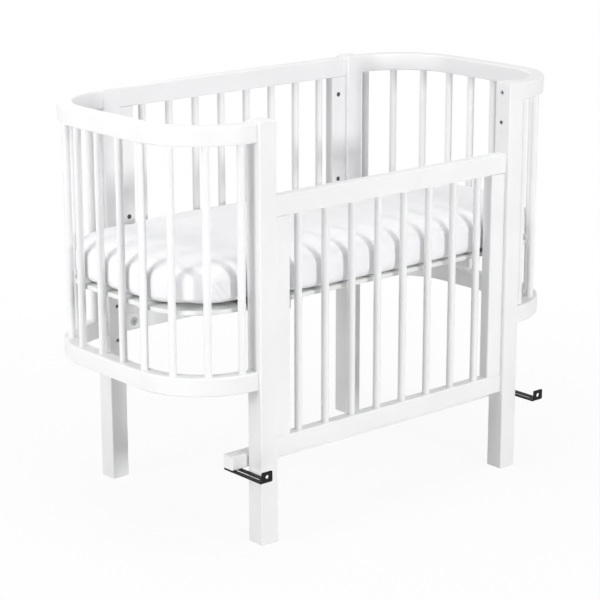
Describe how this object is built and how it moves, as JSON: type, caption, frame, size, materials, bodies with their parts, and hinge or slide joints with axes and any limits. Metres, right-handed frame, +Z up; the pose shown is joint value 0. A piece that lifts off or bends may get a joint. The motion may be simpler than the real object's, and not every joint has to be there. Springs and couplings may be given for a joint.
{
  "type": "bedside sleeper crib",
  "caption": "White wooden bedside crib with bent slatted ends, a lowered front panel, a mattress on a base board, and slotted brackets that fasten it to a bed.",
  "frame": {"origin": "on the floor, under the middle of the crib's overall box, brackets included", "axes": "+X along the front to the right, +Y from the lowered front panel to the back, +Z up"},
  "size_m": [1.016, 0.5696, 0.815],
  "materials": {
    "white_wood": "white semi-matt paint",
    "bare_wood": "unfinished beech",
    "fabric": "white fitted cotton sheet over a foam mattress",
    "black_steel": "black powder coat",
    "zinc_steel": "zinc plated"
  },
  "bodies": {
    "frame": {"back_left_base_support": "zinc_steel", "back_left_post": "white_wood", "back_panel_bottom_rail": "white_wood", "back_panel_left_stile": "white_wood", "back_panel_right_stile": "white_wood", "back_panel_slat_1": "white_wood", "back_panel_slat_2": "white_wood", "back_panel_slat_3": "white_wood", "back_panel_slat_4": "white_wood", "back_panel_slat_5": "white_wood", "back_panel_slat_6": "white_wood", "back_panel_slat_7": "white_wood", "back_panel_slat_8": "white_wood", "back_panel_top_rail": "white_wood", "back_right_base_support": "zinc_steel", "back_right_post": "white_wood", "base_board": "white_wood", "base_inserts": "zinc_steel", "base_support_bolts": "zinc_steel", "base_support_screws": "zinc_steel", "batten_bolts": "zinc_steel", "batten_inserts": "zinc_steel", "bed_batten": "white_wood", "bent_rail_bolts": "zinc_steel", "bent_rail_inserts": "zinc_steel", "bracket_screws": "black_steel", "bracket_washers": "black_steel", "connector_rods": "zinc_steel", "front_left_base_support": "zinc_steel", "front_left_post": "white_wood", "front_panel_bottom_rail": "white_wood", "front_panel_left_stile": "white_wood", "front_panel_right_stile": "white_wood", "front_panel_slat_1": "white_wood", "front_panel_slat_2": "white_wood", "front_panel_slat_3": "white_wood", "front_panel_slat_4": "white_wood", "front_panel_slat_5": "white_wood", "front_panel_slat_6": "white_wood", "front_panel_slat_7": "white_wood", "front_panel_slat_8": "white_wood", "front_panel_top_rail": "white_wood", "front_right_base_support": "zinc_steel", "front_right_post": "white_wood", "left_base_cleat": "white_wood", "left_bent_bottom_rail": "white_wood", "left_bent_top_rail": "white_wood", "left_end_slats": "white_wood", "panel_cams": "zinc_steel", "panel_dowels": "bare_wood", "panel_inserts": "zinc_steel", "panel_lower_cams": "zinc_steel", "panel_studs": "zinc_steel", "right_base_cleat": "white_wood", "right_bent_bottom_rail": "white_wood", "right_bent_top_rail": "white_wood", "right_end_slats": "white_wood"},
    "mattress": {"mattress": "fabric"},
    "left_bed_bracket": {"left_bed_bracket": "black_steel"},
    "right_bed_bracket": {"right_bed_bracket": "black_steel"}
  },
  "joints": [
    {"name": "mattress_lift", "type": "slide", "parent": "frame", "child": "mattress", "axis": [0, 0, 1], "range_m": [0, 0.22]},
    {"name": "left_bracket_slide", "type": "slide", "parent": "frame", "child": "left_bed_bracket", "axis": [0, 1, 0], "range_m": [-0.001, 0.077]},
    {"name": "right_bracket_slide", "type": "slide", "parent": "frame", "child": "right_bed_bracket", "axis": [0, 1, 0], "range_m": [-0.009, 0.069]}
  ]
}
